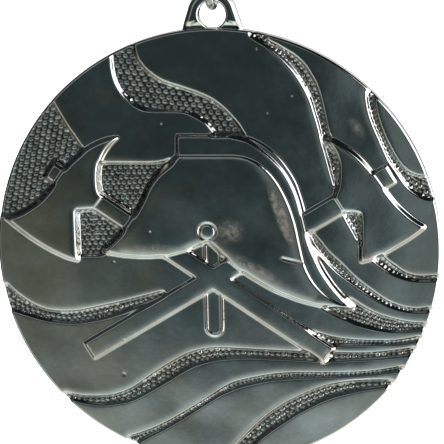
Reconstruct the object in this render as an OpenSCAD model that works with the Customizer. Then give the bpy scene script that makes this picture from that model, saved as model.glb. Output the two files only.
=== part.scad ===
// Finisher medal: a die-cast disc with a raised emblem of a helmet over two crossed
// axes, hung by its ear from a jump ring, with an engraving plate in its reverse.
// Millimetres. The medal hangs upright: +Z is up and the front faces -Y.
// The origin is the centre of the disc, in the plane of its back.

/* [Disc] */
// Diameter of the disc
disc_d = 50; // [44:1:64]
// Thickness of the disc at its smooth fields
disc_t = 2; // [1.8:0.1:3]
// Radius that rounds the disc's front and back edges
edge_r = 0.3; // [0.1:0.05:0.5]

/* [Relief] */
// Depth of the stippled bands below the fields
band_depth = 0.4; // [0.2:0.05:0.5]
// Height of the upright bar's rim above the fields
bar_rise = 0.11; // [0.1:0.01:0.25]
// Height of the step round the helmet's comb
ledge_rise = 0.12; // [0.1:0.01:0.3]
// Height of the axe handles
handle_rise = 0.3; // [0.2:0.05:0.4]
// Height of the helmet's comb
comb_rise = 0.4; // [0.35:0.05:0.5]
// Height of the axe heads
axe_rise = 0.45; // [0.4:0.05:0.55]
// Height of the helmet's dome
dome_rise = 0.6; // [0.55:0.05:0.8]
// Depth of the ring line engraved in the dome
ring_line_depth = 0.12; // [0.1:0.01:0.4]
// Depth of the notch cut in the back of the dome
notch_depth = 0.12; // [0.1:0.01:0.3]

/* [Ear] */
// Outer radius of the ear round its hole
ear_r = 2.75; // [2.5:0.05:3.5]
// Thickness of the ear
ear_t = 1.8; // [1.4:0.1:2]
// Lean of the ear's straight sides towards each other
ear_lean = 18; // [10:1:30]
// Height of the hole's centre above the disc's top edge
hole_lift = 1.45; // [1.2:0.05:1.8]
// Diameter of the hole
hole_d = 3; // [2.6:0.1:3.4]
// Countersink at both mouths of the hole
hole_chamfer = 0.25; // [0.1:0.05:0.4]

/* [Jump ring] */
// Diameter of the ring's wire
wire_d = 1; // [0.8:0.1:1.2]
// Inner diameter of the ring
ring_inner_d = 8; // [8:0.5:12]
// Gap where the two ends of the wire meet
ring_slit = 0.12; // [0.05:0.01:0.3]
// Place of that gap, measured from the top of the ring towards the back
slit_angle = 35; // [20:1:80]
// Play between the hung ear and the inside of the ring
hang_play = 0.04; // [0.02:0.01:0.1]

/* [Engraving plate] */
// Diameter of the plate in the reverse
plate_d = 38; // [25:1:38]
// Thickness of the plate
plate_t = 0.5; // [0.3:0.1:0.6]
// Thickness of the adhesive film under the plate
film_t = 0.1; // [0.05:0.05:0.15]
// How far the film stays inside the plate's edge
film_inset = 0.4; // [0.2:0.1:1]
// Radial gap between the plate and its recess
plate_gap = 0.3; // [0.2:0.1:0.5]

/* [Hidden] */

$fn = 96;
silver = [0.72, 0.74, 0.74];
plate_grey = [0.82, 0.83, 0.84];
film_white = [0.9, 0.9, 0.86];

disc_r = disc_d / 2;
art_scale = disc_d / 50;
band_floor = disc_t - band_depth;
// Raised shapes start this far below the lowest floor, inside the disc
relief_root = 0.3;
relief_foot = band_floor - relief_root;
recess_depth = plate_t + film_t;
plate_chamfer = 0.1;
hole_z = disc_r + hole_lift;
// The hung ear rests on the wire at both ends of its hole's straight wall.
hole_wall = ear_t / 2 - hole_chamfer;
ring_r = (ring_inner_d + wire_d) / 2;
ring_z = hole_z + hole_d / 2 + sqrt(pow(ring_inner_d / 2, 2) - pow(hole_wall, 2)) - hang_play;
slit_turn = ring_slit / ring_r * 180 / PI;

// How far a cut runs past the surface it opens, and the ear's foot into the disc
clear = 1;

// Points placed on each stretch between two chosen points of a curve
curve_steps = 3;

// Outlines are [across, up] on a 50 mm disc, seen from the front.

// Each stippled band is an upper and a lower edge, both drawn from left to right.
// Bands run out through the rim, and their hidden ends run under the raised emblem.
band_edges = [
    // From the rim at the upper left, down to the comb
    [[[-8.9, 25.6], [-8.6, 22.4], [-8, 21.1], [-7, 20.05], [-5.6, 19.15], [-4, 18.6],
      [-2.5, 18.1], [-1, 17.5], [0, 16.95], [1, 16.15], [2, 15.1], [2.8, 14.1], [3.8, 12.4]],
     [[-11.1, 24.6], [-11.2, 21.5], [-10.9, 19.5], [-10.2, 18.05], [-9.2, 17], [-8.3, 16.35],
      [-7.2, 16], [-5, 15.95], [-3.2, 15.85], [-2.1, 15.4], [-1, 14.75], [-0.4, 14.1], [0.6, 12.8]]],
    // Between the left rim and the left axe
    [[[-20.2, 20.4], [-18.6, 18], [-17.8, 16.4], [-17.2, 15.3], [-16.5, 14.1], [-15.7, 12.9], [-14.6, 11.2]],
     [[-26.5, 4.4], [-24.3, 4.1], [-22, 4.2], [-18.5, 6.5], [-15, 10]]],
    // Between the left axe and the helmet
    [[[-15.9, 10.05], [-9, 10.05], [-7, 10.05], [-5.7, 10.2], [-4.4, 10.6]],
     [[-15.9, -0.5], [-13.6, -0.55], [-12, 0.2], [-9, 3], [-4.6, 8]]],
    // Up from the left rim to the left handle
    [[[-26, -1.6], [-24.7, -3.4], [-23.8, -4.5], [-22.9, -5.3], [-21.5, -6.25], [-20, -6.9],
      [-18.3, -7.15], [-16.5, -7.1], [-15, -6.85], [-13, -6.4], [-11, -5.95], [-8.5, -5.3], [-5.4, -4.5]],
     [[-26.4, -5.6], [-24.6, -6.6], [-23, -7.2], [-20, -8.1], [-18, -8.4], [-16.5, -8.45],
      [-15, -8.25], [-13, -7.85], [-11, -7.2], [-9.5, -6.6], [-8, -6], [-5.4, -4.6]]],
    // Over the crest in the lower half, from rim to rim
    [[[-21, -15.4], [-19.3, -16.3], [-17, -17.05], [-15, -17.25], [-13, -17.15], [-11.5, -16.8],
      [-10, -16.1], [-8, -14.7], [-6, -13.35], [-4, -12.2], [-3, -11.8], [-2, -11.5], [-0.5, -11.3],
      [1, -11.3], [6, -11.5], [9, -11.6], [13.5, -11.7], [16, -11.7], [18, -11.6], [20, -11.35],
      [21.5, -11.1], [24.5, -10.3]],
     [[-20.5, -16.9], [-18.6, -17.2], [-17.4, -17.5], [-16, -17.9], [-14.8, -18.1], [-13.5, -18.2],
      [-12, -18], [-10, -17.5], [-7, -15.8], [-5, -14.55], [-3.5, -13.65], [-2, -13.05], [0, -12.6],
      [3, -12.35], [6, -12.4], [9, -12.5], [12.8, -12.65], [15, -12.5], [18, -12.3], [20, -12.1],
      [22, -11.85], [24.5, -11.3]]],
    // The thin band under it
    [[[-13.5, -22.9], [-11, -22.1], [-9, -21.5], [-7, -20.65], [-5, -19.55], [-3, -18.3], [-1, -17],
      [0, -16.3], [1, -15.7], [2, -15.25], [4, -14.75], [6, -14.35], [8, -14.15], [10, -14.1],
      [14, -14.05], [17, -13.85], [19, -13.55], [21.2, -13.1], [23.5, -12.45]],
     [[-11.5, -24.2], [-9.3, -22.5], [-7, -21.25], [-5, -20.05], [-3, -18.75], [-1, -17.45],
      [0, -16.8], [1, -16.35], [2, -15.9], [4, -15.35], [6, -14.95], [8, -14.75], [10, -14.6],
      [14, -14.45], [17, -14.2], [19, -13.95], [21, -13.6], [23.5, -12.95]]],
    // Up from the bottom rim to the right
    [[[0.2, -26], [1, -24], [1.9, -22.65], [2.7, -21.85], [3.6, -20.9], [4.6, -19.95], [6, -18.75],
      [8, -17.45], [10, -16.45], [12, -15.65], [14, -15.2], [16, -14.95], [18, -14.85],
      [20.5, -14.85], [23, -14.8]],
     [[2.4, -26], [3.3, -23.7], [4.2, -22.4], [5, -21.65], [6, -20.85], [8, -19.45], [9, -18.8],
      [11, -17.7], [12.5, -17], [14, -16.55], [16, -16.05], [18, -15.7], [20, -15.45], [23, -15.3]]],
    // Three short tails on the right, from the lowest up
    [[[8.5, -8], [10.3, -9.05], [11.5, -9.5], [12.5, -9.8], [14, -10.05], [16, -10.2], [18, -10.25],
      [20, -10.2], [21.5, -9.95], [23, -9.6], [25.5, -8.9]],
     [[8.5, -9.6], [11, -10.7], [13, -10.85], [15, -10.75], [17, -10.65], [20, -10.6], [22, -10.35],
      [25.5, -9.5]]],
    [[[12.3, -4.6], [14.6, -5.25], [15.5, -5.75], [16.5, -6.4], [18, -7.15], [20, -7.75],
      [22.5, -8.15], [26, -8]],
     [[11.8, -6.3], [13, -7.05], [14, -7.55], [15, -7.95], [16, -8.4], [18, -8.9], [20, -9.15],
      [22.5, -9], [26, -8.4]]],
    [[[10, 3], [11, 1.75], [11.6, 1.05], [12.5, -0.1], [14, -1.5], [15, -2.55], [16, -3.45],
      [17, -4.2], [18, -4.95], [19, -5.6], [20, -6.05], [21, -6.35], [22.5, -6.5], [24.3, -6.25],
      [26, -5.9]],
     [[10, 1.8], [11.2, 0.4], [12.2, -0.85], [13, -1.75], [14, -2.65], [15, -3.4], [16, -4.1],
      [17, -4.8], [18, -5.4], [19, -5.95], [20, -6.4], [21.5, -6.8], [23, -6.9], [24.3, -6.75],
      [26, -6.5]]],
    // From the top rim, under the right axe, and out to the right rim
    [[[5.4, 25.6], [5.9, 23.8], [7, 23.1], [8, 22.5], [9, 21.85], [10, 20.9], [10.7, 19.8],
      [11.25, 18.8], [11.7, 17.5], [12, 16.2], [12.3, 14.8], [12.65, 13.3], [13.5, 11], [14.2, 8],
      [15, 5.5], [16.2, 3], [17.5, 0.9], [18.8, -0.75], [20, -1.65], [21, -2.35], [22.5, -2.75],
      [24.8, -2.65], [26.5, -2.5]],
     [[3.1, 24.95], [4.1, 24.3], [5.1, 23.65], [6.1, 23.05], [7.1, 22.25], [8.1, 21.3], [9.1, 20.1],
      [10.1, 18.5], [10.8, 17], [11.25, 15.5], [11.65, 14.1], [12, 12.6], [12.3, 11.4],
      [12.7, 9.9], [13.1, 8.4], [13.6, 6.9], [14.1, 5.2], [14.6, 3.8], [15.3, 2.5], [16.1, 1.1],
      [17, -0.2], [17.9, -1.15], [18.6, -1.7], [19.5, -2.3], [21, -2.95], [22.5, -3.3], [24.6, -3.25],
      [26.5, -3.1]]],
    // Down the upper right rim, round the leaf
    [[[17.5, 20.2], [17.6, 17.6], [17.8, 16], [18.15, 14.6], [18.7, 13.1], [19.4, 11.6],
      [20.15, 10.3], [20.9, 9.4], [21.9, 8.75], [23.3, 8.5], [26, 8.5]],
     [[16.4, 20.8], [16.85, 18.4], [16.95, 17], [17.2, 15.7], [17.6, 14.4], [18.2, 13], [18.8, 11.6],
      [19.4, 10.3], [20.2, 9.1], [21.2, 7.6], [22.1, 6.8], [23.1, 6.2], [24.3, 5.8], [26.5, 5.4]]]
];

// The raised shapes are closed outlines of strokes: a stroke is one smooth run of
// points, and each ends where the next begins, at a corner.
left_axe = [
    [[-10.65, 13.05], [-12, 12.8], [-13.2, 12.35], [-14.3, 11.75], [-15.2, 11.1], [-16.2, 10.25],
     [-17.2, 9.15], [-18.1, 7.95], [-19, 6.8], [-20, 5.8], [-21.2, 4.95], [-22.6, 4.2], [-24, 3.85]],
    [[-24, 3.85], [-23, 2.95], [-22, 2.15], [-21, 1.4], [-20, 0.75], [-19, 0.15], [-18, -0.35],
     [-17, -0.8], [-15.75, -1.15]],
    [[-15.75, -1.15], [-15.75, 4.65]],
    [[-15.75, 4.65], [-14, 4.75]],
    [[-14, 4.75], [-12.85, 6.2]],
    [[-12.85, 6.2], [-13.1, 7.2], [-13.15, 8.5], [-13, 9.7], [-12.6, 10.8], [-11.9, 11.9],
     [-11.1, 12.75], [-10.65, 13.05]]
];
right_axe = [
    [[12.1, 12.75], [13, 12.65], [14, 12.15], [15, 11.5], [16, 10.7], [17, 9.6], [18, 8.35],
     [19, 6.9], [20, 5.6], [21, 4.6], [22, 3.75], [23.3, 2.9]],
    [[23.3, 2.9], [22.2, 2], [21, 1.2], [20, 0.6], [19, 0], [18, -0.5], [17, -0.9], [16.15, -1.15]],
    [[16.15, -1.15], [16.15, 4.45]],
    [[16.15, 4.45], [14.4, 4.5]],
    [[14.4, 4.5], [13.3, 6.3]],
    [[13.3, 6.3], [13.6, 7.5], [13.75, 9], [13.65, 10.2], [13.25, 11.3], [12.6, 12.2], [12.1, 12.75]]
];
// The dome, from the comb's front corner round the brim to the tail and back
dome = [
    [[-4.15, 10.9], [-5, 10.05], [-5.9, 9.35], [-6.7, 8.6], [-7.3, 7.8], [-7.8, 6.9], [-8.2, 6],
     [-8.7, 5.1], [-9.3, 4.1], [-10.1, 3], [-10.9, 2], [-11.8, 1.05], [-12.6, 0.4], [-13.2, 0]],
    [[-13.2, 0], [-12, -0.25], [-10.5, -0.5], [-9, -0.6], [-7.5, -0.6], [-6, -0.5], [-4.8, -0.25],
     [-3.6, 0.1], [-2.3, 0.65], [-1, 1.25]],
    [[-1, 1.25], [-0.4, 0.75], [0.3, 0.05], [0.9, -0.5], [1.6, -1.15], [2.2, -1.7], [3, -2.25],
     [4, -2.95], [5, -3.55], [6, -4.15], [7, -4.65], [8, -5.05], [9, -5.45], [10, -5.75],
     [11, -6], [12, -6.2], [13, -6.35], [14, -6.45], [15.3, -6.55]],
    [[15.3, -6.55], [14.5, -6.2], [13.5, -5.75], [12.5, -5.15], [11.6, -4.35], [10.8, -3.35],
     [10.2, -2.25], [9.8, -1.2], [9.5, 0.1], [9.2, 1.6], [8.9, 3.1], [8.4, 4.8], [7.8, 6.3],
     [7, 7.8], [6.1, 9], [5, 9.95], [4, 10.5], [3, 10.8], [2, 10.9]],
    [[2, 10.9], [-4.15, 10.9]]
];
// The comb over the dome; its lower side lies hidden under the dome
comb = [
    [[-4.15, 10.6], [-4.15, 13.2]],
    [[-4.15, 13.2], [1.6, 13.15]],
    [[1.6, 13.15], [3.3, 12.75], [4.3, 12.25], [5.3, 11.5], [6.3, 10.65], [7, 9.95], [7.7, 9.1],
     [8.4, 7.9], [9, 6.5], [9.4, 5.1], [9.75, 3.6], [10.1, 2.1], [10.5, 0.7], [11, -0.6],
     [11.7, -2.1], [12.5, -3.4], [13.4, -4.6], [14.3, -5.55], [15.4, -6.45]],
    [[15.4, -6.45], [13, -6.1], [9.5, -3.5], [8, 1], [7, 6], [4, 9.6], [1, 10.6], [-4.15, 10.6]]
];
// The low step outside the comb
ledge = [
    [[-1, 13], [1.6, 13.35], [3.6, 13], [4.9, 12.45], [5.9, 11.8], [6.9, 10.95], [7.9, 9.75],
     [8.95, 8], [9.45, 6.6], [9.85, 5.2], [10.1, 4], [10.35, 2.5], [10.7, 1.3], [11.1, 0.1],
     [12, -1.7], [13.1, -3.45], [14.2, -4.8], [15.5, -6.15]],
    [[15.5, -6.15], [13, -6], [9, -2], [8, 5], [5, 10], [-1, 12]],
    [[-1, 12], [-1, 13]]
];
// The small notch cut across the back of the dome
notch = [[[7.45, -0.55], [9.6, -1.05], [9.6, -1.3], [7.5, -0.8], [7.45, -0.55]]];

// The handles run corner to corner behind the helmet, past the heads of their axes.
handle_w = 2.2;
left_handle = [[-18.8, 9.4], [12.6, -11.95]];
right_handle = [[-14.9, -11.75], [19.5, 8.85]];

// The upright bar behind the handles, a raised rim round a sunken middle with a round
// foot, and the ring line above it
bar_w = 2.1;
bar_rim_w = 0.3;
bar_top = [-0.4, 1];
bar_foot = [-0.4, -8.8];
ring_line_at = [-0.95, 2.35];
ring_line_r = [0.78, 1.03];

// One point of the curve between b and c, which runs on towards a and d
function spline_point(a, b, c, d, t) =
    (2 * b + (c - a) * t + (2 * a - 5 * b + 4 * c - d) * t * t
        + (3 * b - a - 3 * c + d) * t * t * t) / 2;

// A smooth curve through every point of p, without its last point
function curve(p) = [
    for (i = [0 : len(p) - 2], k = [0 : curve_steps - 1])
        spline_point(p[max(i - 1, 0)], p[i], p[i + 1], p[min(i + 2, len(p) - 1)], k / curve_steps)
];

// A stroke of two points is a straight line and needs no points between
function stroke(p) = len(p) == 2 ? [p[0]] : curve(p);

function reversed(p) = [for (i = [len(p) - 1 : -1 : 0]) p[i]];

function outline(strokes) = art_scale * [for (s = strokes) each stroke(s)];

module band(edges) {
    polygon(art_scale * concat(curve(edges[0]), reversed(curve(edges[1]))));
}

// A raised shape, from under the lowest floor up to its height above the fields
module raised(rise) {
    translate([0, 0, relief_foot])
        linear_extrude(disc_t + rise - relief_foot)
            children();
}

// A straight bar of width w between the points of a pair, with square ends
module straight_bar(ends, w) {
    run = art_scale * (ends[1] - ends[0]);
    translate(art_scale * ends[0])
        rotate(atan2(run[1], run[0]))
            translate([0, -w * art_scale / 2])
                square([norm(run), w * art_scale]);
}

// A flat round disc whose two edges are rounded
module rounded_disc(r, t, round_r) {
    cylinder(r = r - round_r, h = t);
    translate([0, 0, round_r])
        cylinder(r = r, h = t - 2 * round_r);
    for (z = [round_r, t - round_r])
        translate([0, 0, z])
            rotate_extrude()
                translate([r - round_r, 0])
                    circle(r = round_r);
}

// The ear's outline: a round head whose tangent sides spread down into the disc
module ear_outline() {
    foot_y = disc_r - clear;
    touch = [ear_r * cos(ear_lean), hole_z + ear_r * sin(ear_lean)];
    foot_x = touch[0] + (touch[1] - foot_y) * tan(ear_lean);
    polygon([[-foot_x, foot_y], [foot_x, foot_y], touch, [-touch[0], touch[1]]]);
    translate([0, hole_z])
        circle(r = ear_r);
}

// The hole through the ear, with a countersink at each mouth
module ear_hole() {
    translate([0, hole_z, 0]) {
        translate([0, 0, -clear])
            cylinder(d = hole_d, h = disc_t + 2 * clear);
        for (side = [0, 1])
            translate([0, 0, disc_t / 2])
                mirror([0, 0, side])
                    translate([0, 0, hole_wall])
                        cylinder(d1 = hole_d, d2 = hole_d + 4 * hole_chamfer, h = 2 * hole_chamfer);
    }
}

// The upright bar's shape at a given width
module bar_shape(w) {
    straight_bar([bar_foot, bar_top], w);
    translate(art_scale * bar_foot)
        circle(d = w * art_scale);
}

module bar_rim() {
    difference() {
        bar_shape(bar_w);
        bar_shape(bar_w - 2 * bar_rim_w);
    }
}

// The raised emblem; where shapes overlap, the highest one shows
module emblem() {
    raised(bar_rise)
        bar_rim();
    raised(ledge_rise)
        polygon(outline(ledge));
    raised(comb_rise)
        polygon(outline(comb));
    raised(dome_rise)
        polygon(outline(dome));
    for (handle = [left_handle, right_handle])
        raised(handle_rise)
            straight_bar(handle, handle_w);
    for (axe = [left_axe, right_axe])
        raised(axe_rise)
            polygon(outline(axe));
}

// A shape cut into the top of the dome
module engraved(depth) {
    translate([0, 0, disc_t + dome_rise - depth])
        linear_extrude(depth + clear)
            children();
}

module ring_line() {
    translate(art_scale * ring_line_at)
        difference() {
            circle(r = ring_line_r[1] * art_scale);
            circle(r = ring_line_r[0] * art_scale);
        }
}

// The casting lying on its back, with its front up
module flat_casting() {
    difference() {
        union() {
            difference() {
                rounded_disc(disc_r, disc_t, edge_r);
                translate([0, 0, band_floor])
                    linear_extrude(disc_t)
                        for (edges = band_edges)
                            band(edges);
            }
            emblem();
            translate([0, 0, (disc_t - ear_t) / 2])
                linear_extrude(ear_t)
                    ear_outline();
        }
        engraved(ring_line_depth)
            ring_line();
        engraved(notch_depth)
            polygon(outline(notch));
        ear_hole();
        translate([0, 0, -clear])
            cylinder(d = plate_d + 2 * plate_gap, h = recess_depth + clear);
    }
}

// One die casting: disc, relief, ear and the round recess in the reverse
module medal_casting() {
    color(silver)
        rotate([90, 0, 0])
            flat_casting();
}

// The aluminium disc for the event's engraving, flush with the medal's back
module reverse_plate() {
    color(plate_grey)
        rotate([90, 0, 0])
            rotate_extrude()
                polygon([[0, 0], [plate_d / 2 - plate_chamfer, 0], [plate_d / 2, plate_chamfer],
                         [plate_d / 2, plate_t], [0, plate_t]]);
}

// The film that holds the plate to the floor of its recess
module plate_adhesive() {
    color(film_white)
        rotate([90, 0, 0])
            translate([0, 0, plate_t])
                cylinder(d = plate_d - 2 * film_inset, h = film_t);
}

// The wire ring that hangs the ear from a ribbon, standing across the medal
module jump_ring() {
    color(silver)
        translate([0, -disc_t / 2, ring_z])
            rotate([0, 90, 0])
                rotate(180 - slit_angle + slit_turn / 2)
                    rotate_extrude(angle = 360 - slit_turn)
                        translate([ring_r, 0])
                            circle(d = wire_d);
}

medal_casting();
reverse_plate();
plate_adhesive();
jump_ring();
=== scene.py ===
"""Finisher medal: a polished nickel casting with a raised emblem and pearled bands, its
jump ring, and the brushed engraving plate in its reverse.

The casting's front is a height map: it is ray-cast from the CAD casting, its walls are
sloped and rounded as a die casting's are, the bands get their pearls, and the result is
triangulated finely where it bends and coarsely where it is flat.

Lengths in the mesh code are millimetres; objects are in metres. The front faces -y, x
runs to the right and z runs up. A height is measured forwards from the disc's back.
"""

import math

import bpy
import numpy as np
from mathutils import Matrix, Vector
from mathutils.bvhtree import BVHTree
from mathutils.geometry import delaunay_2d_cdt


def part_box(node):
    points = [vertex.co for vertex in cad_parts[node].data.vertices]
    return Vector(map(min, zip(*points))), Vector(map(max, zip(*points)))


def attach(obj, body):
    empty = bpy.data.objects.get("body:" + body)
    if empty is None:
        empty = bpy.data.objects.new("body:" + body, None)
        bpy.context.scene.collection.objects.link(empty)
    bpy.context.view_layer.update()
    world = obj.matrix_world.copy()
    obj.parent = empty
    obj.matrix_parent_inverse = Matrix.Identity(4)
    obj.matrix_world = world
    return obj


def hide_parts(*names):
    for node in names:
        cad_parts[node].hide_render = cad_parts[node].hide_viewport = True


MM = 0.001

# ---------------------------------------------------------------- frame and sizes
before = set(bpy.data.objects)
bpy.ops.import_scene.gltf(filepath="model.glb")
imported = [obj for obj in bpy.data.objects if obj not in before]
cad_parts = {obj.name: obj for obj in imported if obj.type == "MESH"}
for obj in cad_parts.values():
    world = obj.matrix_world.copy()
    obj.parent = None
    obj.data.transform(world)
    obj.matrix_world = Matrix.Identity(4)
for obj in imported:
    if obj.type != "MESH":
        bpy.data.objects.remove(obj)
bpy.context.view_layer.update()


def box_mm(name):
    """Lowest and highest corner of a CAD node, in millimetres."""
    return [np.array(corner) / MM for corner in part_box(name)]


casting_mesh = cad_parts["medal_casting"].data
casting_low, casting_high = box_mm("medal_casting")
ring_low, ring_high = box_mm("jump_ring")
plate_r = box_mm("reverse_plate")[1][0]
film_front = box_mm("plate_adhesive")[0][1]

# The disc: its radius, the rounding of both of its edges, and where its flat front ends
DISC_R = casting_high[0]
EDGE_R = 0.3
FLAT_R = DISC_R - EDGE_R
# The mould's parting line on the rim: its height, how far it stands out, half its width
PARTING_H = 1.0
PARTING_OUT = 0.015
PARTING_HALF = 0.05
# The plate's recess in the back: the gap round the plate, its depth, its chamfered edges
RECESS_R = plate_r + 0.3
RECESS_DEPTH = -film_front
RECESS_CHAMFER = 0.06

# The ear: a round head on sides that lean outwards, between the heights of its front and
# back faces. Its outer edges are rounded, and its foot is inside the disc.
EAR_R = 2.75
EAR_LEAN = math.radians(18)
EAR_TOP_H = 1.9
EAR_BACK_H = 0.1
EAR_ROUND_R = 0.62
EAR_FOOT_Z = DISC_R - 1.0
# Below this place its front slopes back into a thin web
WEB_TOP_Z = 25.7
WEB_SLOPE = 0.55
# Its hole, with rounded mouths and a lump of casting flash inside
HOLE_R = 1.5
HOLE_Z = casting_high[2] - EAR_R
MOUTH_R = 0.28
FLASH_H = 0.1
FLASH_TURN = math.radians(222)
FLASH_SPREAD = math.radians(14)

# The jump ring's slit: its width, how far round it is from the top, and its ends' chamfer
SLIT = 0.12
SLIT_TURN = math.radians(35)
SLIT_CHAMFER = 0.08

# ---------------------------------------------------------------- relief
# The height map's grid, and how far its blurs reach, in sigmas
PITCH = 0.05
GRID_HALF = DISC_R + 0.5
BLUR_REACH = 3.5
# Rays start this far before the casting; a rise from cell to cell over this is a wall
RAY_START = 1
WALL_RISE = 0.01

# Steps of these heights are sloped by blurs of these sigmas, with a smooth change between
STEP_HEIGHTS = (0.3, 0.4, 0.8, 0.97)
STEP_SIGMAS = (0.085, 0.14, 0.2, 0.27)
STEP_REACH = 0.35
# Every upper edge rolls over by a share of its step, over this run. It is compared with
# the ground this many cells below it and to its right, so edges facing there roll most.
SHOULDER_RUN = 0.3
SHOULDER_SHARE = 0.11
SHOULDER_SHIFT = 3
# The dome is what lies within this of the highest point; it falls away at its edges
DOME_WITHIN = 0.1
CROWN_RUN = 1.3
CROWN_DROP = 0.06
# A band's floor is at least this much lower than the field
SUNKEN_BY = 0.1

# Pearls in straight rows: centre, half size, row angle, pitch along a row, row gap
PEARL_PATCHES = [
    ((-4, 18.5), (9, 7.5), -6, 0.80, 0.58),
    ((-21, 11.5), (7.5, 9.5), 22, 0.76, 0.55),
    ((-10.5, 5), (6.5, 6), 2, 0.62, 0.57),
]
# Pearls in rows that follow a band: rows, pitch, row gap, and the band's middle line
PEARL_RUNS = [
    (5, 0.62, 0.52, [(-26, -3.9), (-23.5, -6), (-21, -7.1), (-18, -7.8), (-15, -7.5),
                     (-12, -6.8), (-9, -5.9), (-5.5, -4.6)]),
    (3, 0.66, 0.50, [(-21, -16), (-17, -17.4), (-14, -17.7), (-11, -17), (-8, -15.5),
                     (-5, -13.7), (-2, -12.3), (1, -11.9), (5, -11.9), (9, -12.1),
                     (13, -12.2), (17, -12), (21, -11.6), (25, -10.6)]),
    (1, 0.50, 0.40, [(-13, -23.6), (-9, -21.9), (-5, -19.8), (-1, -17.2), (2, -15.6),
                     (6, -14.65), (10, -14.35), (15, -14.2), (20, -13.7), (24, -12.6)]),
    (5, 0.72, 0.50, [(1, -26), (3, -22.8), (5, -20.9), (8, -18.5), (11, -17), (14, -15.9),
                     (18, -15.3), (24, -15)]),
    (3, 0.50, 0.42, [(9, -8.8), (12, -10.2), (16, -10.45), (20, -10.4), (25, -9.2)]),
    (5, 0.50, 0.44, [(11, -4.8), (14, -6.6), (17, -7.8), (20, -8.5), (26, -8.2)]),
    (3, 0.50, 0.42, [(10.2, 2.6), (12.5, -0.7), (15, -3), (18, -5.2), (21, -6.55),
                     (26, -6.1)]),
    (3, 0.52, 0.44, [(4, 25.2), (7, 22.7), (9, 20.9), (10.8, 18.2), (11.6, 15.5),
                     (12.4, 12.4), (13.4, 8.4), (14.6, 5), (16.6, 1.6), (18.5, -1.3),
                     (21, -2.7), (26, -2.8)]),
    (7, 0.54, 0.46, [(17, 20.5), (17.4, 16), (18.4, 13.3), (19.8, 10.2), (21.6, 8.1),
                     (23.5, 7.2), (26, 7)]),
]
# Steps of the middle line's curve between two of its points
CURVE_STEPS = 30
PATCH_PEARL_H = 0.06
RUN_PEARL_H = 0.085
# A pearl fills this share of its place; the power flattens its top, the lean lifts one side
PEARL_FILL = 0.9
PEARL_POWER = 5
PEARL_LEAN = 0.35
# How pearls differ: how far they stray, their sizes and their heights
PEARL_SEED = 11
PEARL_STRAY = 0.025
PEARL_SIZES = (0.85, 1.1)
PEARL_HEIGHTS = (0.6, 1.2)
# Pearls stand inside this radius, where there is at least this much floor
PEARL_LIMIT_R = DISC_R + 0.3
PEARL_LEAST_FLOOR = 0.3
# Pearls and stain fade away as the floor turns into a wall, between these slopes
PEARL_SLOPES = (1.4, 0.8)
STAIN_SLOPES = (0.9, 0.4)
# A pearl's top is cleaned of this share of its stain
PEARL_SHINE = 0.75

# Small casting flaws: place, radius, and depth; a speck stands proud
PIT = 0.04
SPECK = -0.04
FLAWS = [
    ((-11, -14.5), 0.3, PIT),
    ((-10.8, -10.4), 0.26, PIT),
    ((-11.7, -1.3), 0.16, PIT),
    ((-5.85, 14.5), 0.14, SPECK),
    ((8.7, 17.5), 0.13, SPECK),
    ((6, 15.6), 0.12, PIT),
    ((4.9, 22.7), 0.15, PIT),
    ((-7.4, 2.3), 0.18, PIT),
]
# How steeply a flaw fades towards its radius
FLAW_FALL = 4
# The waviness of hand polishing: its width and its usual height
WAVE_SEED = 42
WAVE_SIGMA = 1.7
WAVE_H = 0.013


def grid_axis():
    """The grid's coordinates along x and z alike."""
    count = int(round(GRID_HALF / PITCH))
    return np.arange(-count, count + 1) * PITCH


AXIS = grid_axis()
GRID_X, GRID_Z = np.meshgrid(AXIS, AXIS)
GRID_R = np.hypot(GRID_X, GRID_Z)


def blurred(field, sigma):
    """The field blurred by a Gaussian of that sigma in millimetres."""
    reach = int(math.ceil(BLUR_REACH * sigma / PITCH))
    offsets = np.arange(-reach, reach + 1) * PITCH
    kernel = np.exp(-0.5 * (offsets / sigma) ** 2)
    kernel /= kernel.sum()
    for axis in (0, 1):
        field = np.apply_along_axis(lambda row: np.convolve(row, kernel, "same"), axis, field)
    return field


def smoothstep(low, high, value):
    """A smooth rise from 0 at low to 1 at high; low may be the larger one."""
    t = np.clip((value - low) / (high - low), 0, 1)
    return t * t * (3 - 2 * t)


def unit(vectors):
    """The vectors at length 1."""
    return vectors / np.linalg.norm(vectors, axis=-1, keepdims=True)


def cell(coordinate):
    """The grid index nearest to a coordinate in millimetres."""
    return np.clip(np.rint((coordinate - AXIS[0]) / PITCH).astype(int), 0, len(AXIS) - 1)


def grid_values(field, points):
    """Bilinear values of a grid field at points (x, z)."""
    at = (points - AXIS[0]) / PITCH
    low = np.clip(np.floor(at).astype(int), 0, len(AXIS) - 2)
    part = at - low
    column, row = low[:, 0], low[:, 1]
    u, v = part[:, 0], part[:, 1]
    bottom = field[row, column] * (1 - u) + field[row, column + 1] * u
    top = field[row + 1, column] * (1 - u) + field[row + 1, column + 1] * u
    return bottom * (1 - v) + top * v


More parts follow.
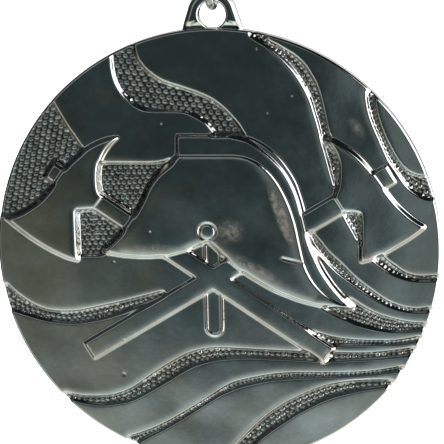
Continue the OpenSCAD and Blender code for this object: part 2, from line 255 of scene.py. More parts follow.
def cast_heights():
    """Heights of the CAD casting's front over the grid. Past the flat of the disc they run
    on outwards from the last flat radius, so that the rim's rounding can be added later."""
    corners = np.zeros(len(casting_mesh.vertices) * 3)
    casting_mesh.vertices.foreach_get("co", corners)
    corners = corners.reshape(-1, 3) / MM
    faces = [tuple(face.vertices) for face in casting_mesh.polygons]
    tree = BVHTree.FromPolygons(corners.tolist(), faces)
    start_y = casting_low[1] - RAY_START
    into = Vector((0, 1, 0))

    def height(x, z):
        return -tree.ray_cast(Vector((x, start_y, z)), into)[0].y

    heights = np.zeros(GRID_X.shape)
    reach = FLAT_R - PITCH
    for row, column in zip(*np.nonzero(GRID_R <= reach)):
        heights[row, column] = height(AXIS[column], AXIS[row])
    # A cell on a wall takes the mean of nine rays
    rise_z, rise_x = np.gradient(heights)
    on_wall = (np.hypot(rise_x, rise_z) > WALL_RISE) & (GRID_R < reach - PITCH)
    nearby = np.array([-1, 0, 1]) * PITCH / 3
    for row, column in zip(*np.nonzero(on_wall)):
        heights[row, column] = np.mean([height(AXIS[column] + dx, AXIS[row] + dz)
                                        for dx in nearby for dz in nearby])
    outside = GRID_R > reach
    pull = (reach - PITCH) / GRID_R[outside]
    heights[outside] = heights[cell(GRID_Z[outside] * pull), cell(GRID_X[outside] * pull)]
    return heights


def widened(field, pick):
    """Each place's largest or smallest neighbour within the step's reach."""
    reach = int(STEP_REACH / PITCH)
    for axis in (0, 1):
        result = field
        for shift in range(-reach, reach + 1):
            result = pick(result, np.roll(field, shift, axis))
        field = result
    return field


def sloped(heights):
    """Turns the upright steps into rounded walls, wider where the step is taller."""
    step = blurred(widened(heights, np.maximum) - widened(heights, np.minimum), STEP_REACH / 2)
    result = blurred(heights, STEP_SIGMAS[0])
    for low, high, sigma in zip(STEP_HEIGHTS, STEP_HEIGHTS[1:], STEP_SIGMAS[1:]):
        share = smoothstep(low, high, step)
        result += share * (blurred(heights, sigma) - result)
    return result


def crowned(heights):
    """Lets the helmet's dome fall away towards its edges, and rolls every upper edge over."""
    dome = (heights > heights.max() - DOME_WITHIN).astype(float)
    inside = np.clip(2 * blurred(dome, CROWN_RUN) - 1, 0, 1)
    around = np.roll(blurred(heights, SHOULDER_RUN), (SHOULDER_SHIFT, -SHOULDER_SHIFT), (0, 1))
    shoulder = np.maximum(heights - around, 0)
    return heights - dome * CROWN_DROP * (1 - inside) ** 2 - SHOULDER_SHARE * shoulder


def smooth_line(points, spacing):
    """Points at even spacing along a Catmull-Rom curve through the given ones, and the
    curve's direction at each of them."""
    p = np.array([points[0], *points, points[-1]], float)
    t = np.linspace(0, 1, CURVE_STEPS, endpoint=False)[:, None]
    parts = []
    for a, b, c, d in zip(p, p[1:], p[2:], p[3:]):
        parts.append((2 * b + (c - a) * t + (2 * a - 5 * b + 4 * c - d) * t ** 2
                      + (3 * b - a - 3 * c + d) * t ** 3) / 2)
    line = np.concatenate([*parts, p[-1:]])
    run = np.concatenate([[0], np.cumsum(np.linalg.norm(np.diff(line, axis=0), axis=1))])
    at = np.arange(0, run[-1], spacing)
    even = np.stack([np.interp(at, run, line[:, k]) for k in (0, 1)], 1)
    return even, unit(np.gradient(even, axis=0))


def pearl_places():
    """Every pearl as (x, z, angle, pitch, row gap, height). Odd rows are shifted by half a
    pitch."""
    pearls = []
    for (cx, cz), (half_x, half_z), degrees, pitch, gap in PEARL_PATCHES:
        angle = math.radians(degrees)
        along = np.array([math.cos(angle), math.sin(angle)])
        across = np.array([-along[1], along[0]])
        reach = math.hypot(half_x, half_z)
        for row in range(-int(reach / gap), int(reach / gap) + 1):
            shift = 0.5 * (row % 2)
            for k in range(-int(reach / pitch), int(reach / pitch) + 1):
                offset = across * row * gap + along * (k + shift) * pitch
                if abs(offset[0]) < half_x and abs(offset[1]) < half_z:
                    place = (cx + offset[0], cz + offset[1])
                    pearls.append((*place, angle, pitch, gap, PATCH_PEARL_H))
    for rows, pitch, gap, points in PEARL_RUNS:
        line, direction = smooth_line(points, pitch)
        for row in range(rows):
            side = (row - (rows - 1) / 2) * gap
            start = 0.5 * pitch * (row % 2)
            for (x, z), (dx, dz) in zip(line, direction):
                place = (x + dx * start - dz * side, z + dz * start + dx * side)
                pearls.append((*place, math.atan2(dz, dx), pitch, gap, RUN_PEARL_H))
    return pearls


def pearl_bumps(floor):
    """How far the pearls rise over the band floors; floor is 1 on a floor and fades at its
    walls."""
    rng = np.random.default_rng(PEARL_SEED)
    bumps = np.zeros(floor.shape)
    for x, z, angle, pitch, gap, height in pearl_places():
        if math.hypot(x, z) > PEARL_LIMIT_R or floor[cell(z), cell(x)] < PEARL_LEAST_FLOOR:
            continue
        x, z = np.array([x, z]) + rng.normal(0, PEARL_STRAY, 2)
        half = np.array([pitch, gap]) / 2 * PEARL_FILL * rng.uniform(*PEARL_SIZES, 2)
        height *= rng.uniform(*PEARL_HEIGHTS)
        rows = slice(cell(z - pitch), cell(z + pitch) + 1)
        columns = slice(cell(x - pitch), cell(x + pitch) + 1)
        dx = GRID_X[rows, columns] - x
        dz = GRID_Z[rows, columns] - z
        along = (dx * math.cos(angle) + dz * math.sin(angle)) / half[0]
        across = (dz * math.cos(angle) - dx * math.sin(angle)) / half[1]
        pearl = height * np.clip(1 - np.hypot(along, across) ** PEARL_POWER, 0, None)
        pearl *= 1 - PEARL_LEAN * across
        bumps[rows, columns] = np.maximum(bumps[rows, columns], pearl)
    return blurred(bumps, PITCH) * floor


def waviness():
    """The slight waviness that hand polishing leaves, as heights."""
    noise = np.random.default_rng(WAVE_SEED).normal(0, 1, GRID_X.shape)
    waves = blurred(noise, WAVE_SIGMA)
    return waves * WAVE_H / waves.std()


def flaws():
    """The casting's pits and specks, as heights."""
    heights = np.zeros(GRID_X.shape)
    for (x, z), radius, depth in FLAWS:
        near = np.hypot(GRID_X - x, GRID_Z - z) / radius
        heights -= depth * np.exp(-FLAW_FALL * near ** 2)
    return heights


class Relief:
    """The finished front: grids of its heights, slopes and stain."""

    def __init__(self):
        cast = cast_heights()
        field_h = np.median(cast[GRID_R < FLAT_R])
        sunken = cast < field_h - SUNKEN_BY
        shape = sloped(crowned(cast))
        steepness = np.hypot(*np.gradient(shape, PITCH))
        floor = blurred(sunken.astype(float), PITCH) * smoothstep(*PEARL_SLOPES, steepness)
        pearls = pearl_bumps(floor)
        shine = PEARL_SHINE * smoothstep(0, PATCH_PEARL_H, pearls)
        self.stain = floor * smoothstep(*STAIN_SLOPES, steepness) * (1 - shine)
        self.heights = shape + pearls + waviness() + flaws()
        self.slope_z, self.slope_x = np.gradient(self.heights, PITCH)

    def normals(self, points):
        """Outward normals of the front at points (x, z)."""
        return unit(np.stack([-grid_values(self.slope_x, points), -np.ones(len(points)),
                              -grid_values(self.slope_z, points)], 1))


# ---------------------------------------------------------------- casting mesh
# Lattice spacings, and the changes of slope per millimetre that ask for the first two
FINE = 0.112
MEDIUM = 0.26
COARSE = 0.9
TIGHT_BEND = 0.35
GENTLE_BEND = 0.03
# Such places are widened by a blur of this sigma, as far as this share of it reaches
TIGHT_SPREAD = (0.06, 0.08)
GENTLE_SPREAD = (0.15, 0.02)
# Along each wall's line the mesh has a point at this spacing, at these distances off the
# line; points that snap to the same place count as one, and lattices keep clear of them
WALL_SPACING = 0.16
WALL_OFFSETS = (-0.23, -0.13, -0.045, 0.045, 0.13, 0.23)
WALL_SNAP = 0.04
WALL_SPREAD = (0.05, 0.12)
# A CAD face looks forwards if its normal's y is below this
FACES_FRONT = -0.99
# Points closer together than this are one point
SAME_POINT = 1e-6
# A lattice row's ends, and the points themselves, stay this far inside the flat's edge
ROW_MARGIN = 0.05
POINT_MARGIN = 0.06
# Points round the rim and round the ear
RIM_COLUMNS = 800
EAR_COLUMNS = 160
# Angles of the rings on the rim's front and back rounding, and of the ear's sections
FRONT_ARC = np.radians((0, 20, 40, 60, 80, 90))
BACK_ARC = np.radians((90, 65, 40, 20, 0))
EAR_ARC = np.radians((0, 22.5, 45, 67.5, 90))
# A sine or cosine that the ear's outline is divided by is kept at least this large
LEAST_RATIO = 0.2
# Sections along the jump ring's wire, and points round a section
WIRE_SECTIONS = 180
WIRE_SIDES = 28

FORWARD = np.array([0, -1.0, 0])
BACKWARD = np.array([0, 1.0, 0])


def hex_points(spacing, wanted):
    """Points of a triangular lattice inside the flat disc where the grid mask is true."""
    step_z = spacing * math.sqrt(3) / 2
    rows = int(FLAT_R / step_z)
    points = []
    for row in range(-rows, rows + 1):
        half = math.sqrt(max((FLAT_R - ROW_MARGIN) ** 2 - (row * step_z) ** 2, 0))
        count = int(half / spacing)
        x = (np.arange(-count, count + 1) + 0.5 * (row % 2)) * spacing
        points.append(np.stack([x, np.full(len(x), row * step_z)], 1))
    points = np.concatenate(points)
    points = points[np.hypot(*points.T) < FLAT_R - POINT_MARGIN]
    return points[wanted[cell(points[:, 1]), cell(points[:, 0])]]


def wall_lines():
    """The lines where the CAD casting's front meets its walls, as (start, end) pairs: the
    edges that only one of the faces that look forwards has."""
    uses = {}
    for face in casting_mesh.polygons:
        if face.normal.y > FACES_FRONT or face.center.y > -PARTING_H * MM:
            continue
        for edge in face.edge_keys:
            uses[edge] = uses.get(edge, 0) + 1
    corners = [np.array([corner.co.x, corner.co.z]) / MM for corner in casting_mesh.vertices]
    return [(corners[a], corners[b]) for (a, b), count in uses.items() if count == 1]


def wall_points():
    """Points along both sides of every wall's line on the front."""
    points = []
    for start, end in wall_lines():
        length = np.linalg.norm(end - start)
        if length < SAME_POINT:
            continue
        along = (end - start) / length
        across = np.array([-along[1], along[0]])
        count = math.ceil(length / WALL_SPACING)
        for k in range(count):
            at = start + along * length * (k + 0.5) / count
            points += [at + across * offset for offset in WALL_OFFSETS]
    points = np.array(points)
    points = points[np.hypot(*points.T) < FLAT_R - POINT_MARGIN]
    snapped = np.rint(points / WALL_SNAP).astype(int)
    _, first = np.unique(snapped, axis=0, return_index=True)
    return points[first]


def spread(mask, sigma, share):
    """The mask widened by its blur, as far as that share of it reaches."""
    return blurred(mask.astype(float), sigma) > share


def front_points(relief):
    """Sample points of the front: rows along its walls, and lattices denser where it bends."""
    walls = wall_points()
    on_walls = np.zeros(GRID_X.shape, bool)
    on_walls[cell(walls[:, 1]), cell(walls[:, 0])] = True
    clear = ~spread(on_walls, *WALL_SPREAD)
    bend_x = np.gradient(relief.slope_x, PITCH)[1]
    bend_z = np.gradient(relief.slope_z, PITCH)[0]
    bend = np.abs(bend_x) + np.abs(bend_z)
    tight = spread(bend > TIGHT_BEND, *TIGHT_SPREAD)
    gentle = spread(bend > GENTLE_BEND, *GENTLE_SPREAD)
    return np.concatenate([
        walls,
        hex_points(FINE, tight & clear),
        hex_points(MEDIUM, gentle & ~tight & clear),
        hex_points(COARSE, ~gentle & ~tight & clear),
    ])


def disc_rings(relief):
    """Rings of points and normals from the front's flat edge round the rim to the back's
    recess, both as (rings, columns, 3) arrays."""
    turn = np.linspace(0, 2 * math.pi, RIM_COLUMNS, endpoint=False)
    out = np.stack([np.cos(turn), np.zeros(RIM_COLUMNS), np.sin(turn)], 1)
    start = np.stack([FLAT_R * np.cos(turn), FLAT_R * np.sin(turn)], 1)
    front_h = grid_values(relief.heights, start)
    front_n = relief.normals(start)
    places, normals = [], []

    def ring(radius, height, normal):
        places.append(out * radius - np.outer(np.broadcast_to(height, RIM_COLUMNS), BACKWARD))
        normals.append(unit(np.broadcast_to(normal, (RIM_COLUMNS, 3))))

    for part in FRONT_ARC:
        ring(FLAT_R + EDGE_R * math.sin(part), front_h - EDGE_R * (1 - math.cos(part)),
             out * math.sin(part) + front_n * math.cos(part))
    ring(DISC_R, PARTING_H + PARTING_HALF, out)
    ring(DISC_R + PARTING_OUT, PARTING_H, out)
    ring(DISC_R, PARTING_H - PARTING_HALF, out)
    for part in BACK_ARC:
        ring(FLAT_R + EDGE_R * math.sin(part), EDGE_R * (1 - math.cos(part)),
             out * math.sin(part) + BACKWARD * math.cos(part))
    ring(RECESS_R + RECESS_CHAMFER, 0, BACKWARD)
    ring(RECESS_R, RECESS_CHAMFER, -out)
    ring(RECESS_R, RECESS_DEPTH - RECESS_CHAMFER, -out)
    ring(RECESS_R - RECESS_CHAMFER, RECESS_DEPTH, BACKWARD)
    return np.array(places), np.array(normals)


def ring_faces(first, rings, columns, closed=False):
    """Quads between successive rings of points whose indices start at first."""
    index = first + np.arange(rings * columns).reshape(rings, columns)
    if closed:
        index = np.concatenate([index, index[:1]])
    inner, outer = index[:-1], index[1:]
    quads = np.stack([inner, outer, np.roll(outer, -1, 1), np.roll(inner, -1, 1)], -1)
    return quads.reshape(-1, 4).tolist()


def mesh_object(name, places, normals, faces):
    """An object from millimetre points, with each corner's normal kept as an attribute."""
    mesh = bpy.data.meshes.new(name)
    mesh.from_pydata((places * MM).tolist(), [], faces)
    mesh.validate()
    corner_points = np.zeros(len(mesh.loops), int)
    mesh.loops.foreach_get("vertex_index", corner_points)
    kept = mesh.attributes.new("shape_normal", "FLOAT_VECTOR", "CORNER")
    kept.data.foreach_set("vector", normals[corner_points].astype(np.float32).ravel())
    result = bpy.data.objects.new(name, mesh)
    bpy.context.scene.collection.objects.link(result)
    return result


def use_shape_normals(piece):
    """Makes the kept normals the shading normals, and removes the attribute."""
    mesh = piece.data
    mesh.shade_smooth()
    kept = mesh.attributes["shape_normal"]
    normals = np.zeros(len(mesh.loops) * 3, np.float32)
    kept.data.foreach_get("vector", normals)
    mesh.attributes.remove(kept)
    mesh.normals_split_custom_set(unit(normals.reshape(-1, 3)).tolist())


def disc_mesh(relief):
    """The disc with its relief, rim, back and recess, as one closed mesh."""
    inner = front_points(relief)
    rings, ring_normals = disc_rings(relief)
    flat = np.concatenate([inner, rings[0][:, (0, 2)]])
    triangles = delaunay_2d_cdt([Vector(p) for p in flat], [], [], 0, SAME_POINT)[2]
    front = np.stack([inner[:, 0], -grid_values(relief.heights, inner), inner[:, 1]], 1)
    places = np.concatenate([front, rings.reshape(-1, 3), [RECESS_DEPTH * FORWARD]])
    normals = np.concatenate([relief.normals(inner), ring_normals.reshape(-1, 3), [BACKWARD]])
    faces = [tuple(triangle) for triangle in triangles]
    faces += ring_faces(len(front), len(rings), RIM_COLUMNS)
    centre = len(places) - 1
    last_ring = centre - RIM_COLUMNS + np.arange(RIM_COLUMNS)
    faces += [(int(a), centre, int(b)) for a, b in zip(last_ring, np.roll(last_ring, -1))]
    disc = mesh_object("medal", places, normals, faces)
    stain = np.zeros(len(places))
    stain[:len(inner)] = grid_values(relief.stain, inner)
    stained = disc.data.attributes.new("stained", "FLOAT", "POINT")
    stained.data.foreach_set("value", stain)
    return disc


def ear_mesh():
    """The ear with its hole: a closed band of sections round the hole's axis."""
    turn = np.linspace(0, 2 * math.pi, EAR_COLUMNS, endpoint=False)
    lean = np.where(np.cos(turn) >= 0, EAR_LEAN, math.pi - EAR_LEAN)
    on_side = np.abs(np.cos(turn)) * math.tan(EAR_LEAN) > np.sin(turn)
    side_reach = EAR_R / np.maximum(np.cos(turn - lean), LEAST_RATIO)
    reach = np.where(on_side, side_reach, EAR_R)
    foot_reach = (HOLE_Z - EAR_FOOT_Z) / np.maximum(-np.sin(turn), LEAST_RATIO)
    reach = np.minimum(reach, np.where(np.sin(turn) < 0, foot_reach, reach))
    radial = np.stack([np.cos(turn), np.zeros(EAR_COLUMNS), np.sin(turn)], 1)
    off_side = np.stack([np.cos(lean), np.zeros(EAR_COLUMNS), np.sin(lean)], 1)
    outward = np.where(on_side[:, None], off_side, radial)
    flash = FLASH_H * np.exp(-((turn - FLASH_TURN) / FLASH_SPREAD) ** 2)
    middle = (EAR_TOP_H + EAR_BACK_H) / 2
    half = (EAR_TOP_H - EAR_BACK_H) / 2
    places, normals = [], []

    def section(radius, height, normal, face):
        """One section, at a height from the ear's middle towards its front or back face."""
        z = HOLE_Z + radius * np.sin(turn)
        dip = WEB_SLOPE * np.clip(WEB_TOP_Z - z, 0, None) * (face > 0)
        places.append(np.stack([radius * np.cos(turn), dip - middle - face * height, z], 1))
        tilt = np.outer((dip > 0) * np.abs(normal @ FORWARD), (0, 0, -WEB_SLOPE))
        normals.append(unit(normal + tilt))

    def hole_edge(radius, face):
        for part in EAR_ARC[::face]:
            section(radius + MOUTH_R * (1 - math.cos(part)),
                    half - MOUTH_R + MOUTH_R * math.sin(part),
                    face * FORWARD * math.sin(part) - radial * math.cos(part), face)

    def outer_edge(face):
        for part in EAR_ARC[::face]:
            share = (EAR_R - EAR_ROUND_R * (1 - math.sin(part))) / EAR_R
            section(reach * share, half - EAR_ROUND_R * (1 - math.cos(part)),
                    outward * math.sin(part) + face * FORWARD * math.cos(part), face)

    hole_edge(HOLE_R - flash, 1)
    outer_edge(1)
    outer_edge(-1)
    hole_edge(HOLE_R, -1)
    faces = ring_faces(0, len(places), EAR_COLUMNS, closed=True)
    return mesh_object("ear", np.concatenate(places), np.concatenate(normals), faces)


def joined(piece, other):
    """The union of two closed meshes, as one closed mesh in the first object."""
    union = piece.modifiers.new("union", "BOOLEAN")
    union.operation = "UNION"
    union.solver = "MANIFOLD"
    union.object = other
    bpy.context.view_layer.update()
    graph = bpy.context.evaluated_depsgraph_get()
    mesh = bpy.data.meshes.new_from_object(piece.evaluated_get(graph))
    piece.modifiers.clear()
    piece.data = mesh
    bpy.data.objects.remove(other)
    return piece


def ring_mesh():
    """The jump ring: a bent wire with a small gap where its two cut ends meet."""
    wire_r = (ring_high[0] - ring_low[0]) / 2
    centre = (ring_low + ring_high) / 2
    bend_r = (ring_high[2] - ring_low[2]) / 2 - wire_r
    first = SLIT / 2 / bend_r
    last = 2 * math.pi - first
    bevel = SLIT_CHAMFER / bend_r
    between = np.linspace(first + bevel, last - bevel, WIRE_SECTIONS)
    sweep = np.concatenate([[first], between, [last]])
    girth = np.ones(len(sweep))
    girth[[0, -1]] = 1 - SLIT_CHAMFER / wire_r
    around = np.linspace(0, 2 * math.pi, WIRE_SIDES, endpoint=False)
    places, normals = [], []
    for turn, share in zip(sweep, girth):
        up = math.pi / 2 - SLIT_TURN + turn
        out = np.array([0, math.cos(up), math.sin(up)])
        tangent = np.array([0, -math.sin(up), math.cos(up)])
        section = np.outer(np.cos(around), out) + np.outer(np.sin(around), [1.0, 0, 0])
        places.append(centre + out * bend_r + section * wire_r * share)
        facing = tangent if turn > math.pi else -tangent
        normals.append(section if share == 1 else np.broadcast_to(facing, section.shape))
    faces = ring_faces(0, len(sweep), WIRE_SIDES)
    ends = np.arange(len(sweep) * WIRE_SIDES).reshape(-1, WIRE_SIDES)
    faces += [ends[0].tolist(), ends[-1, ::-1].tolist()]
    return mesh_object("split_ring", np.concatenate(places), np.concatenate(normals), faces)


# ---------------------------------------------------------------- materials
# Dull places on the nickel, as ellipses: centre (x, z), half size, angle, strength
HAZE = [
    ((7.4, 4.2), (4.4, 0.8), -70, 1.4),
    ((1.6, 2.4), (2.2, 1.7), 0, 0.5),
    ((4.5, -2.0), (4.2, 0.9), -32, 0.55),
    ((-7.0, 0.3), (4.5, 0.8), 0, 0.4),
    ((15.8, 14.0), (1.6, 0.7), -50, 0.5),
]
HAZE_TONE = (0.85, 0.72, 0.64, 1)
HAZE_ROUGHNESS = 0.44
# A place is fully dull where the ellipses add up to this, and streaks break it up
HAZE_FULL = 0.6
STREAK_CONTRAST = 3.5
STREAK_OFFSET = -1.0
# The stained metal between the pearls
STAIN_TONE = (0.16, 0.17, 0.155, 1)
# Noises: scale, detail and roughness. A metal's grain has a scale of its own.
STREAK_NOISE = (1600.0, 5.0, 0.7)
PATCH_NOISE = (260.0, 6.0, 0.65)
GRAIN_NOISE = (6.0, 0.6)
# The limits of a noise between which its two tones, or its two roughnesses, blend
PATCH_LIMITS = (0.35, 0.65)
GRAIN_LIMITS = (0.3, 0.7)


def node(tree, kind, inputs=(), **settings):
    """A shader node with its settings; inputs are (socket, value or output) pairs."""
    made = tree.nodes.new(kind)
    for name, value in settings.items():
        setattr(made, name, value)
    for socket, value in inputs:
        if isinstance(value, bpy.types.NodeSocket):
            tree.links.new(value, made.inputs[socket])
        else:
            made.inputs[socket].default_value = value
    return made


def object_place(tree):
    """The place on the object, in metres."""
    return node(tree, "ShaderNodeTexCoord").outputs["Object"]


def noise(tree, place, scale, detail, roughness=0.5):
    """A noise over a place, from 0 to 1."""
    inputs = [("Vector", place), ("Scale", scale), ("Detail", detail), ("Roughness", roughness)]
    return node(tree, "ShaderNodeTexNoise", inputs).outputs["Fac"]


def calculated(tree, operation, *values, **settings):
    """A math node's result."""
    made = node(tree, "ShaderNodeMath", enumerate(values), operation=operation, **settings)
    return made.outputs["Value"]


def carried(tree, value, limits, to_limits=(0.0, 1.0), **settings):
    """A value carried from one pair of limits to another, and kept inside them."""
    inputs = [("Value", value), ("From Min", limits[0]), ("From Max", limits[1]),
              ("To Min", to_limits[0]), ("To Max", to_limits[1])]
    return node(tree, "ShaderNodeMapRange", inputs, **settings).outputs["Result"]


def mixed(tree, kind, share, first, second):
    """The mix of two colours (kind RGBA) or of two numbers (kind FLOAT)."""
    inputs = [("Factor", share), ("A", first), ("B", second)]
    made = node(tree, "ShaderNodeMix", inputs, data_type=kind)
    return next(socket for socket in made.outputs if socket.enabled)


def new_material(name):
    """A material, its node tree and its shader."""
    material = bpy.data.materials.new(name)
    material.use_nodes = True
    tree = material.node_tree
    return material, tree, tree.nodes["Principled BSDF"]


def haze(tree):
    """How dull the nickel is at each place, from 0 to 1: streaky ellipses."""
    place = object_place(tree)
    total = 0.0
    for (x, z), (half_x, half_z), degrees, strength in HAZE:
        local = node(tree, "ShaderNodeMapping", [
            ("Vector", place), ("Location", (x * MM, 0, z * MM)),
            ("Rotation", (0, -math.radians(degrees), 0)),
            ("Scale", (half_x * MM, 1, half_z * MM))], vector_type="TEXTURE")
        spot = node(tree, "ShaderNodeTexGradient", [("Vector", local.outputs["Vector"])],
                    gradient_type="SPHERICAL")
        total = calculated(tree, "MULTIPLY_ADD", spot.outputs["Fac"], strength, total)
    streaks = noise(tree, place, *STREAK_NOISE)
    uneven = calculated(tree, "MULTIPLY_ADD", streaks, STREAK_CONTRAST, STREAK_OFFSET)
    dull = carried(tree, total, (0.0, HAZE_FULL))
    return calculated(tree, "MULTIPLY", dull, uneven, use_clamp=True)


def add_wear(material):
    """Dulls and browns the metal where the haze lies, and stains it between the pearls."""
    tree = material.node_tree
    shader = tree.nodes["Principled BSDF"]
    dull = haze(tree)
    stained = node(tree, "ShaderNodeAttribute", attribute_name="stained").outputs["Fac"]
    for socket, kind, share, value in (("Base Color", "RGBA", dull, HAZE_TONE),
                                       ("Base Color", "RGBA", stained, STAIN_TONE),
                                       ("Roughness", "FLOAT", dull, HAZE_ROUGHNESS)):
        clean = shader.inputs[socket].links[0].from_socket
        tree.links.new(mixed(tree, kind, share, clean, value), shader.inputs[socket])


def metal(name, light, dark, roughness, scratch_scale, scratch_bump, stretch=(1, 1, 1)):
    """A bare or plated metal: patches of two tones, uneven polish and fine scratches."""
    material, tree, shader = new_material(name)
    place = object_place(tree)
    cloud = noise(tree, place, *PATCH_NOISE)
    tone = mixed(tree, "RGBA", carried(tree, cloud, PATCH_LIMITS), light, dark)
    drawn = node(tree, "ShaderNodeMapping", [("Vector", place), ("Scale", stretch)])
    grain = noise(tree, drawn.outputs["Vector"], scratch_scale, *GRAIN_NOISE)
    polish = carried(tree, grain, GRAIN_LIMITS, roughness)
    bump = node(tree, "ShaderNodeBump", [("Height", grain), ("Strength", 1.0),
                                         ("Distance", scratch_bump)])
    shader.inputs["Metallic"].default_value = 1
    tree.links.new(tone, shader.inputs["Base Color"])
    tree.links.new(polish, shader.inputs["Roughness"])
    tree.links.new(bump.outputs["Normal"], shader.inputs["Normal"])
    return material


def mottled(name, light, dark, roughness, scale, detail):
    """A dull material that is mottled in two tones."""
    material, tree, shader = new_material(name)
    tone = mixed(tree, "RGBA", noise(tree, object_place(tree), scale, detail), light, dark)
    tree.links.new(tone, shader.inputs["Base Color"])
    shader.inputs["Roughness"].default_value = roughness
    return material


def finish_with(piece, material):
    """Makes the material the piece's only one."""
    piece.data.materials.clear()
    piece.data.materials.append(material)


# ---------------------------------------------------------------- light and camera
# What the metal mirrors. Panels: azimuths, softness, elevations, softness, colour, strength,
# with angles in degrees; azimuth 0 is the front, and 90 is on the right
PANELS = [
    # The white panel on the right, and its faint warm edge
    ((34, 120), 4, (-42, 34), 5, (1, 1, 1), 2.2),
    ((22, 36), 4, (-40, 20), 8, (1, 0.7, 0.6), 0.14),
    # Pale light in front, above eye level and on the left
    ((-32, 6), 5, (2, 28), 5, (0.95, 1, 1), 0.24),
    ((-42, -20), 5, (-35, 12), 8, (0.95, 1, 1), 0.22),
    # The table all round, and its brown edge
    ((-180, 180), 1, (-95, -46), 12, (1, 0.93, 0.82), 0.7),
    ((-180, 180), 1, (-60, -18), 4, (1, 0.5, 0.25), 0.13),
    # White paper behind: on the right, in the middle and on the left
    ((116, 150), 8, (-60, 25), 8, (1, 1, 1), 0.8),
    ((155, 190), 5, (-2, 72), 5, (1, 1, 1), 0.75),
    ((-190, -125), 12, (-60, 50), 12, (1, 1, 1), 0.6),
    # A trace of light over the whole upper left
    ((-180, -10), 8, (8, 80), 8, (0.9, 1, 1), 0.03),
    # Things low in front: a yellowish one, a pale one and a faint bluish one
    ((-60, -10), 2.5, (-30, -10.5), 2, (1, 0.85, 0.45), 0.07),
    ((-1.8, 10), 2, (-18, 0), 4, (0.85, 1, 1), 0.13),
    ((-45, 5), 5, (-60, -12.6), 1.5, (0.7, 1, 1.05), 0.04),
]
# The dim room in front gets brighter between these elevations, from one level to the other;
# outside its azimuths only a share of it is left
ROOM_ELEVATIONS = (-14, -25)
ROOM_LEVELS = (0.043, 0.45)
ROOM_COLOUR = (0.68, 1, 1.06)
ROOM_AZIMUTHS = (-45, 5)
ROOM_SOFTNESS = 5
ROOM_SIDES = 0.3
# The camera itself sees plain white behind the medal
BACKDROP_STRENGTH = 1.05

# Floor and lamp, in metres; the floor is a mesh of this many rows of points
FLOOR_DROP = 0.04
FLOOR_HALF = 1.5
FLOOR_ROWS = 9
LAMP_HEIGHT = 1.6
LAMP_Y = 0.6
LAMP_SIZE = 2.4
LAMP_ENERGY = 90

# The camera's azimuth, elevation and roll, its distance in metres, and its lens in millimetres
CAMERA_TURNS = np.radians((6.904, 12.764, -1.257))
CAMERA_AIM = Vector((0, -2 * MM, 0))
CAMERA_DISTANCE = 0.2
CAMERA_LENS = 144.4
CAMERA_SENSOR = 36
CAMERA_SHIFT = (0.0124, 0.0664)
CAMERA_NEAREST = 0.01


def world_light():
    """A studio in the reflections: a dim room in front, brighter towards the table, a white
    panel on the right, white paper behind, and little on the left and above."""
    world = bpy.data.worlds.new("studio")
    bpy.context.scene.world = world
    world.use_nodes = True
    tree = world.node_tree
    tree.nodes.clear()

    def ramp(value, limits, to_limits=(0.0, 1.0)):
        return carried(tree, value, limits, to_limits, interpolation_type="SMOOTHSTEP")

    def window(value, limits, soft):
        return calculated(tree, "MULTIPLY", ramp(value, (limits[0] - soft, limits[0] + soft)),
                          ramp(value, (limits[1] + soft, limits[1] - soft)))

    def tinted(amount, colour):
        return node(tree, "ShaderNodeVectorMath", [(0, colour), ("Scale", amount)],
                    operation="SCALE").outputs["Vector"]

    toward = node(tree, "ShaderNodeTexCoord").outputs["Generated"]
    split = node(tree, "ShaderNodeSeparateXYZ", [("Vector", toward)])
    forward = calculated(tree, "MULTIPLY", split.outputs["Y"], -1.0)
    turn = calculated(tree, "ARCTAN2", split.outputs["X"], forward)
    azimuth = calculated(tree, "DEGREES", turn)
    elevation = calculated(tree, "DEGREES", calculated(tree, "ARCSINE", split.outputs["Z"]))

    sides = calculated(tree, "MULTIPLY_ADD", window(azimuth, ROOM_AZIMUTHS, ROOM_SOFTNESS),
                       1 - ROOM_SIDES, ROOM_SIDES)
    room = calculated(tree, "MULTIPLY", ramp(elevation, ROOM_ELEVATIONS, ROOM_LEVELS), sides)
    total = tinted(room, ROOM_COLOUR)
    for azimuths, azimuth_soft, elevations, elevation_soft, colour, strength in PANELS:
        inside = calculated(tree, "MULTIPLY", window(azimuth, azimuths, azimuth_soft),
                            window(elevation, elevations, elevation_soft))
        panel = tinted(calculated(tree, "MULTIPLY", inside, strength), colour)
        total = node(tree, "ShaderNodeVectorMath", [(0, total), (1, panel)],
                     operation="ADD").outputs["Vector"]

    studio = node(tree, "ShaderNodeBackground", [("Color", total), ("Strength", 1.0)])
    backdrop = node(tree, "ShaderNodeBackground", [("Color", (1, 1, 1, 1)),
                                                   ("Strength", BACKDROP_STRENGTH)])
    seen = node(tree, "ShaderNodeLightPath").outputs["Is Camera Ray"]
    chosen = node(tree, "ShaderNodeMixShader", [(0, seen), (1, studio.outputs[0]),
                                                (2, backdrop.outputs[0])])
    node(tree, "ShaderNodeOutputWorld", [("Surface", chosen.outputs[0])])


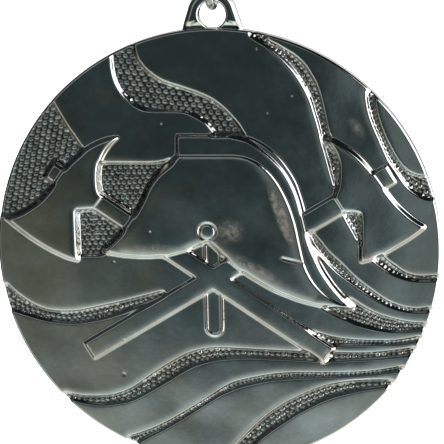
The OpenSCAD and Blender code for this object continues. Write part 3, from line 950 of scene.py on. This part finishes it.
def floor_and_lamp():
    """A pale floor well below the hanging medal, lit evenly from above."""
    z = casting_low[2] * MM - FLOOR_DROP
    steps = np.linspace(-FLOOR_HALF, FLOOR_HALF, FLOOR_ROWS)
    corners = [(x, y, z) for y in steps for x in steps]
    first = [row * FLOOR_ROWS + k for row in range(FLOOR_ROWS - 1) for k in range(FLOOR_ROWS - 1)]
    mesh = bpy.data.meshes.new("floor")
    mesh.from_pydata(corners, [], [(k, k + 1, k + 1 + FLOOR_ROWS, k + FLOOR_ROWS) for k in first])
    floor = bpy.data.objects.new("floor", mesh)
    bpy.context.scene.collection.objects.link(floor)
    floor.visible_glossy = False
    finish_with(floor, mottled("pale_floor", (0.93, 0.93, 0.93, 1), (0.9, 0.9, 0.9, 1),
                               roughness=0.9, scale=6.0, detail=2.0))
    lamp = bpy.data.lights.new("overhead", "AREA")
    lamp.shape = "SQUARE"
    lamp.size = LAMP_SIZE
    lamp.energy = LAMP_ENERGY
    overhead = bpy.data.objects.new("overhead", lamp)
    overhead.location = (0, LAMP_Y, z + LAMP_HEIGHT)
    overhead.visible_glossy = False
    overhead.visible_camera = False
    bpy.context.scene.collection.objects.link(overhead)


def place_camera():
    """The camera in front of the medal, a little above it and to its right."""
    azimuth, elevation, roll = CAMERA_TURNS
    back = Vector((math.sin(azimuth) * math.cos(elevation),
                   -math.cos(azimuth) * math.cos(elevation), math.sin(elevation)))
    level = Vector((math.cos(azimuth), math.sin(azimuth), 0))
    rise = back.cross(level)
    right = level * math.cos(roll) + rise * math.sin(roll)
    up = rise * math.cos(roll) - level * math.sin(roll)
    data = bpy.data.cameras.new("camera")
    data.sensor_width = CAMERA_SENSOR
    data.lens = CAMERA_LENS
    data.shift_x, data.shift_y = CAMERA_SHIFT
    data.clip_start = CAMERA_NEAREST
    camera = bpy.data.objects.new("camera", data)
    bpy.context.scene.collection.objects.link(camera)
    turned = Matrix((right, up, back)).transposed().to_4x4()
    camera.matrix_world = Matrix.Translation(CAMERA_AIM + back * CAMERA_DISTANCE) @ turned
    bpy.context.scene.camera = camera


# ---------------------------------------------------------------- the object
nickel = metal("polished_nickel", (0.72, 0.77, 0.77, 1), (0.6, 0.58, 0.53, 1),
               roughness=(0.05, 0.12), scratch_scale=700.0, scratch_bump=5e-6)
add_wear(nickel)
wire = metal("plated_wire", (0.68, 0.69, 0.68, 1), (0.6, 0.61, 0.6, 1),
             roughness=(0.1, 0.2), scratch_scale=1500.0, scratch_bump=3e-6)
aluminium = metal("brushed_aluminium", (0.86, 0.86, 0.86, 1), (0.8, 0.8, 0.8, 1),
                  roughness=(0.22, 0.34), scratch_scale=2500.0, scratch_bump=3e-6,
                  stretch=(0.03, 1, 1))
film = mottled("adhesive_film", (0.78, 0.77, 0.7, 1), (0.66, 0.64, 0.56, 1),
               roughness=0.6, scale=900.0, detail=3.0)

medal = joined(disc_mesh(Relief()), ear_mesh())
use_shape_normals(medal)
finish_with(medal, nickel)
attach(medal, "medal")
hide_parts("medal_casting")

split_ring = ring_mesh()
use_shape_normals(split_ring)
finish_with(split_ring, wire)
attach(split_ring, "ring")
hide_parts("jump_ring")

finish_with(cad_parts["reverse_plate"], aluminium)
finish_with(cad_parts["plate_adhesive"], film)

world_light()
floor_and_lamp()
place_camera()
bpy.context.scene.view_settings.view_transform = "Standard"
